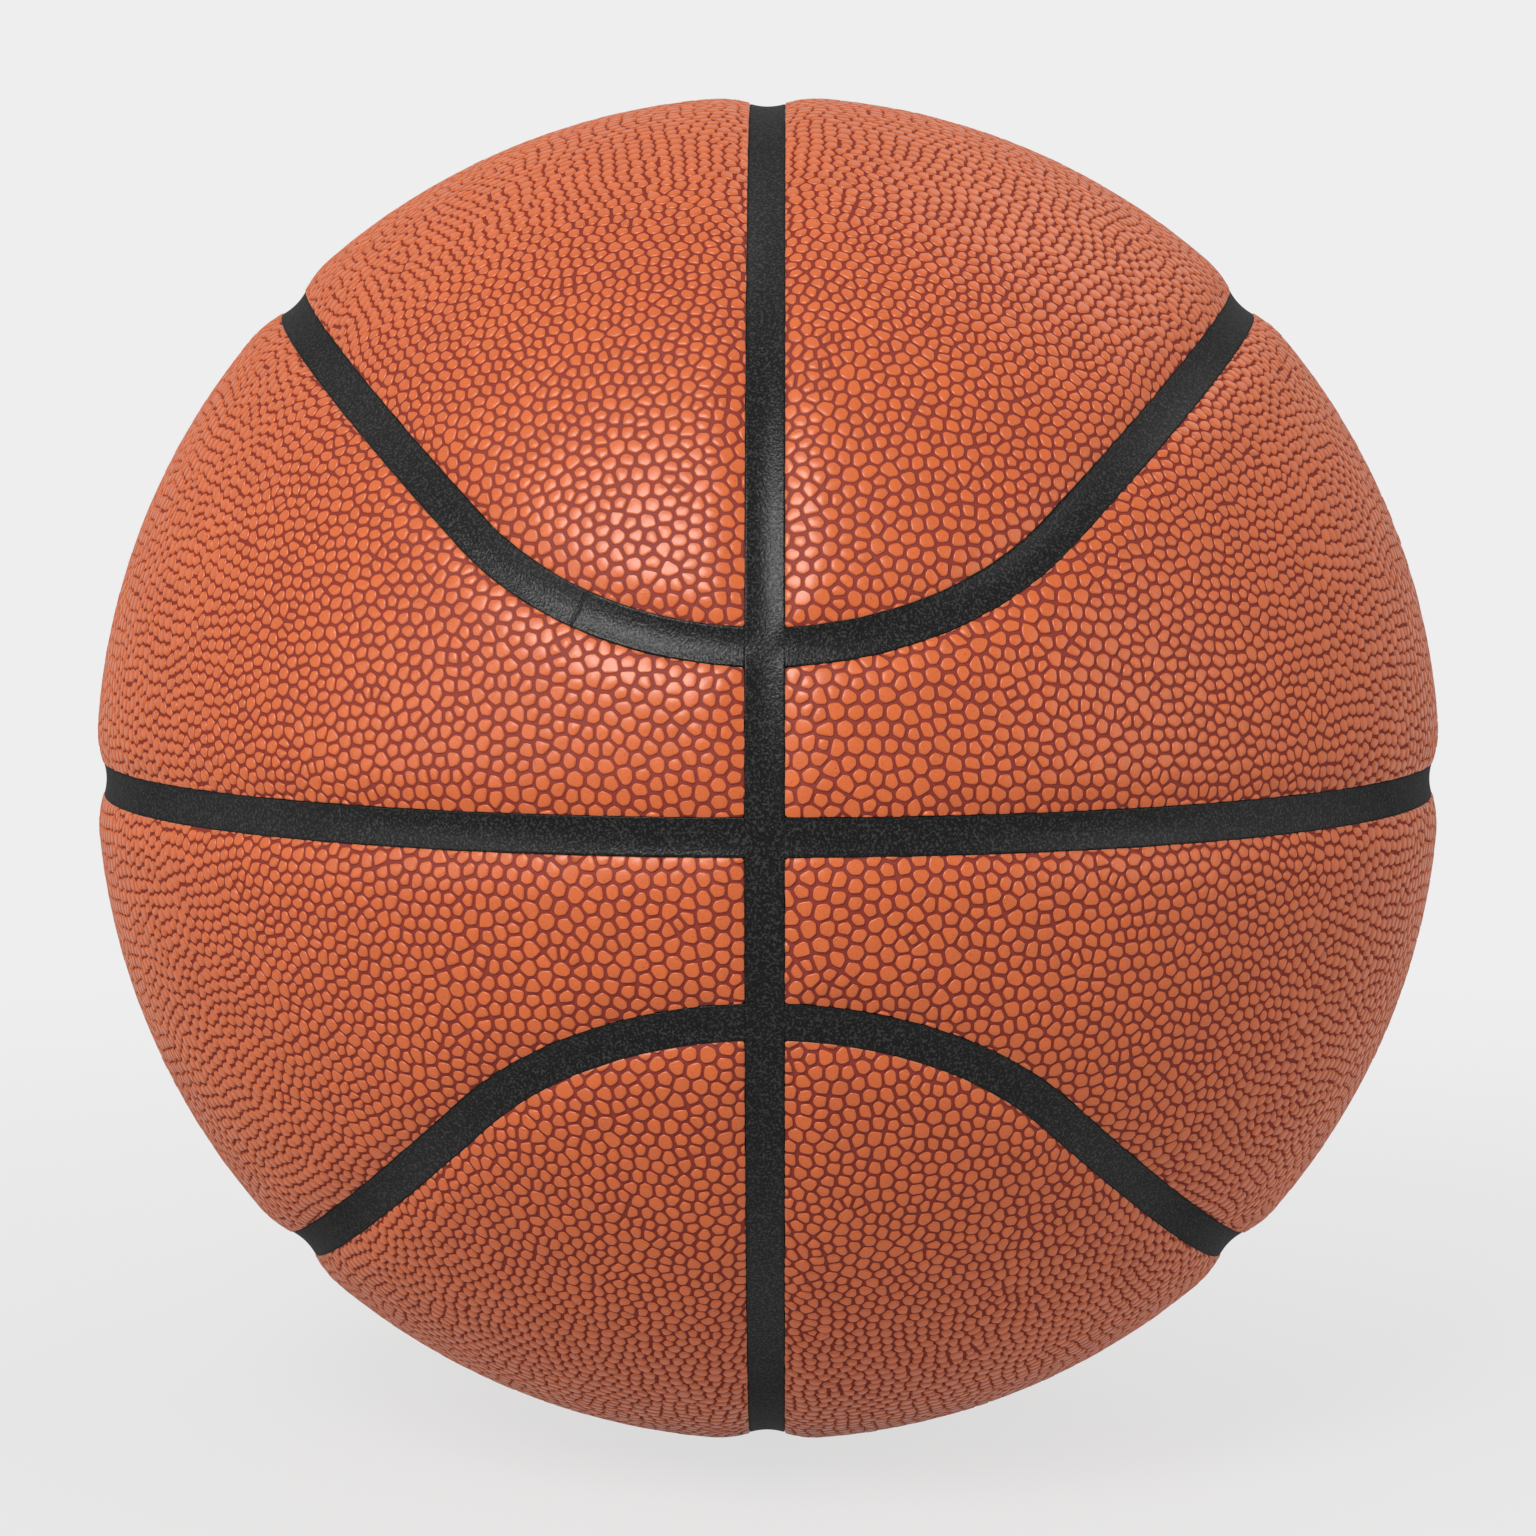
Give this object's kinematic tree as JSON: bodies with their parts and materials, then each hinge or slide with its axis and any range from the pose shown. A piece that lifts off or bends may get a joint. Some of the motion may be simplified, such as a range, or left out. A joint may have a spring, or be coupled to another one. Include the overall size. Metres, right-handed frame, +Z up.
{
  "type": "basketball",
  "caption": "Inflated basketball with pebbled leather panels over a cushioned carcass, black rubber strips in the seams and a needle valve.",
  "frame": {"origin": "the ball's centre", "axes": "+Z up, square to the level equator seam; the meridian seam stands in the YZ plane; the front crossing of the two faces -Y; +X to the viewer's right"},
  "size_m": [0.2392, 0.2386, 0.2392],
  "materials": {
    "cover_leather": "satin",
    "seam_rubber": "satin",
    "cushion_sponge": "matte",
    "carcass_rubber": "matte",
    "winding_thread": "matte",
    "bladder_rubber": "satin",
    "valve_rubber": "matte"
  },
  "bodies": {
    "root": {"panel_crown_upper_right": "cover_leather", "panel_crown_upper_left": "cover_leather", "panel_crown_lower_right": "cover_leather", "panel_crown_lower_left": "cover_leather", "panel_equator_upper_right": "cover_leather", "panel_equator_upper_left": "cover_leather", "panel_equator_lower_right": "cover_leather", "panel_equator_lower_left": "cover_leather", "cushion_crown_upper_right": "cushion_sponge", "cushion_crown_upper_left": "cushion_sponge", "cushion_crown_lower_right": "cushion_sponge", "cushion_crown_lower_left": "cushion_sponge", "cushion_equator_upper_right": "cushion_sponge", "cushion_equator_upper_left": "cushion_sponge", "cushion_equator_lower_right": "cushion_sponge", "cushion_equator_lower_left": "cushion_sponge", "strip_meridian": "seam_rubber", "strip_equator_right": "seam_rubber", "strip_equator_left": "seam_rubber", "strip_curved_upper_right": "seam_rubber", "strip_curved_upper_left": "seam_rubber", "strip_curved_lower_right": "seam_rubber", "strip_curved_lower_left": "seam_rubber", "carcass": "carcass_rubber", "winding": "winding_thread", "bladder": "bladder_rubber", "valve_body": "valve_rubber", "valve_plug": "valve_rubber"}
  },
  "joints": []
}
